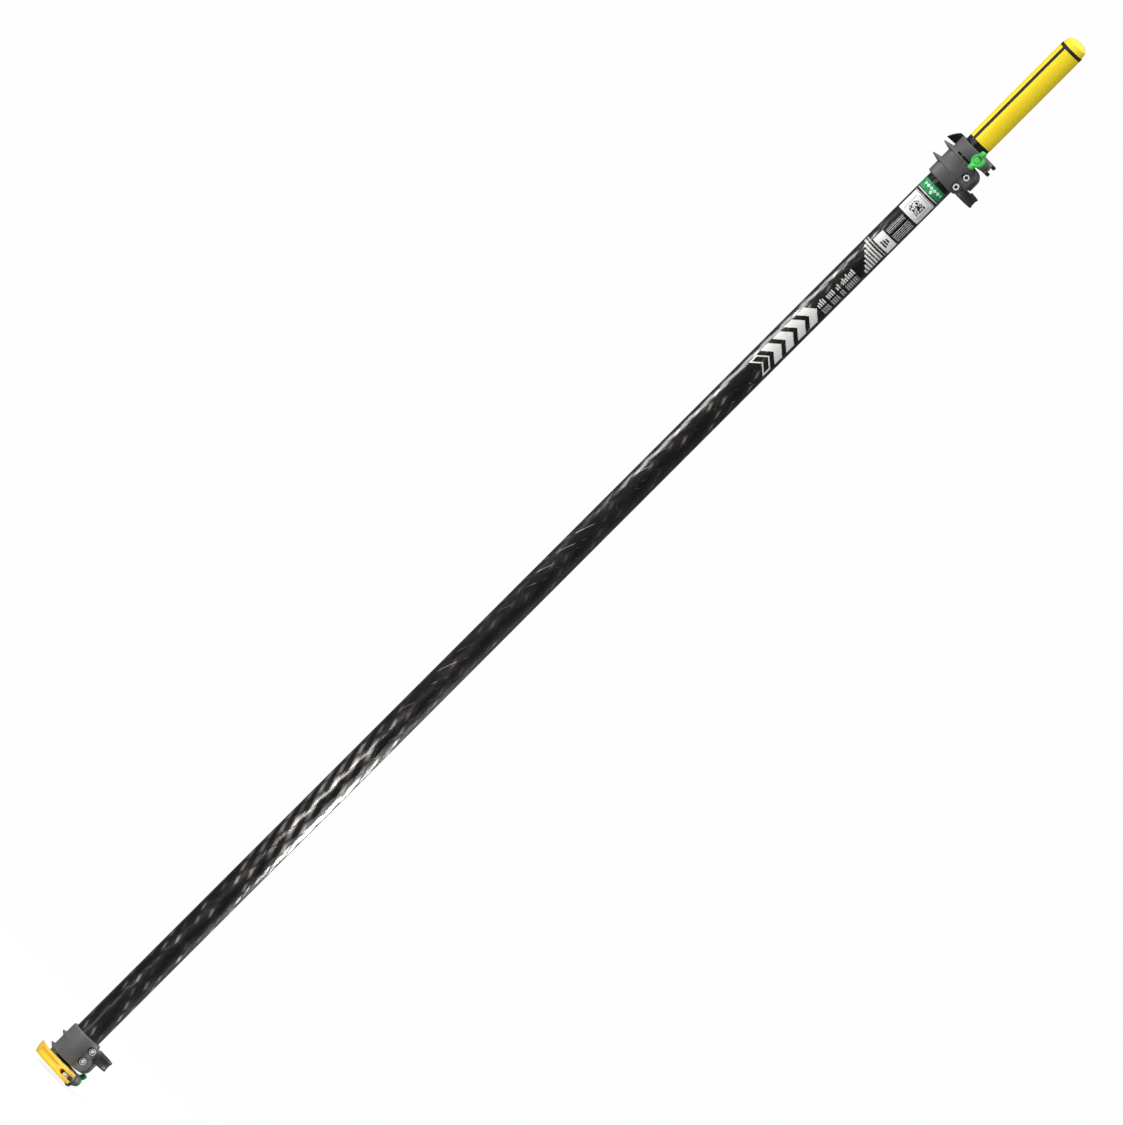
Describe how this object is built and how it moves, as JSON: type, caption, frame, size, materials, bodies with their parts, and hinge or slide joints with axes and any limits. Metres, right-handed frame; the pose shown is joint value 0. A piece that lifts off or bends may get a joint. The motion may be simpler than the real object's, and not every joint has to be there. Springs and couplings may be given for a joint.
{
  "type": "telescopic extension pole",
  "caption": "Telescopic carbon pole with lever clamps, hose hooks, a lower clamping socket and a long top plug.",
  "frame": {"origin": "on the pole's axis, in the plane of the lower socket's mouth", "axes": "+Z along the pole towards the plug, +X towards the clamps' bolted lugs"},
  "size_m": [0.0918, 0.0648, 1.9319],
  "materials": {
    "carbon_tube": "wound carbon fibre under a clear gloss coat",
    "clamp_grey": "fine moulded texture",
    "hook_black": "satin moulded",
    "lever_black": "satin moulded",
    "lever_yellow": "satin moulded",
    "plug_yellow": "soft gloss moulded",
    "seal_black": "soft matt rubber",
    "wing_green": "satin moulded",
    "guide_plastic": "smooth bearing plastic",
    "bright_steel": "bright stainless",
    "zinc_steel": "zinc plated",
    "brass_thread": "turned",
    "label_green": "printed film",
    "label_white": "printed film"
  },
  "bodies": {
    "outer": {"outer_tube": "carbon_tube", "socket_stop": "guide_plastic", "green_band": "label_green", "code_label": "label_white", "size_label": "label_white", "top_clamp_body": "clamp_grey", "top_clamp_bolts": "bright_steel", "top_insert_nuts": "bright_steel", "top_hose_hook": "hook_black", "top_stud": "zinc_steel", "top_barrel_pin": "zinc_steel", "top_cam_saddle": "zinc_steel", "bottom_clamp_body": "clamp_grey", "bottom_clamp_bolts": "bright_steel", "bottom_insert_nuts": "bright_steel", "bottom_hose_hook": "hook_black", "bottom_stud": "zinc_steel", "bottom_barrel_pin": "zinc_steel", "bottom_cam_saddle": "zinc_steel"},
    "slider": {"wear_ring": "guide_plastic"},
    "inner": {"inner_tube": "carbon_tube", "end_cap": "guide_plastic", "upper_guide": "guide_plastic", "plug": "plug_yellow", "plug_seal": "seal_black"},
    "top_lever_arm": {"top_lever": "lever_black"},
    "top_nut_seat": {"top_thrust_washer": "zinc_steel"},
    "top_nut": {"top_wing_nut": "wing_green", "top_nut_insert": "brass_thread"},
    "bottom_lever_arm": {"bottom_lever": "lever_yellow"},
    "bottom_nut_seat": {"bottom_thrust_washer": "zinc_steel"},
    "bottom_nut": {"bottom_wing_nut": "wing_green", "bottom_nut_insert": "brass_thread"}
  },
  "joints": [
    {"name": "inner_slide", "type": "slide", "parent": "outer", "child": "slider", "axis": [0, 0, 1], "range_m": [0, 1.3515]},
    {"name": "inner_turn", "type": "hinge", "parent": "slider", "child": "inner", "pos_m": [0, 0, 0.214], "axis": [0, 0, 1], "continuous": true},
    {"name": "top_lever_swing", "type": "hinge", "parent": "outer", "child": "top_lever_arm", "pos_m": [0.0235, 0.02, 1.7215], "axis": [0, 0, -1], "range_deg": [0, 105]},
    {"name": "bottom_lever_swing", "type": "hinge", "parent": "outer", "child": "bottom_lever_arm", "pos_m": [0.0235, -0.02, 0.0085], "axis": [0, 0, 1], "range_deg": [0, 105]},
    {"name": "top_nut_travel", "type": "slide", "parent": "outer", "child": "top_nut_seat", "axis": [0, -1, 0], "range_m": [0, 0.002]},
    {"name": "top_nut_turn", "type": "hinge", "parent": "top_nut_seat", "child": "top_nut", "pos_m": [0.0235, -0.019, 1.7215], "axis": [0, -1, 0], "range_deg": [0, 720]},
    {"name": "bottom_nut_travel", "type": "slide", "parent": "outer", "child": "bottom_nut_seat", "axis": [0, 1, 0], "range_m": [0, 0.002]},
    {"name": "bottom_nut_turn", "type": "hinge", "parent": "bottom_nut_seat", "child": "bottom_nut", "pos_m": [0.0235, 0.019, 0.0085], "axis": [0, 1, 0], "range_deg": [0, 720]}
  ],
  "couplings": [
    {"joint": "top_nut_travel", "follows": "top_nut_turn", "m_per_rad": 0.000159},
    {"joint": "bottom_nut_travel", "follows": "bottom_nut_turn", "m_per_rad": 0.000159}
  ]
}
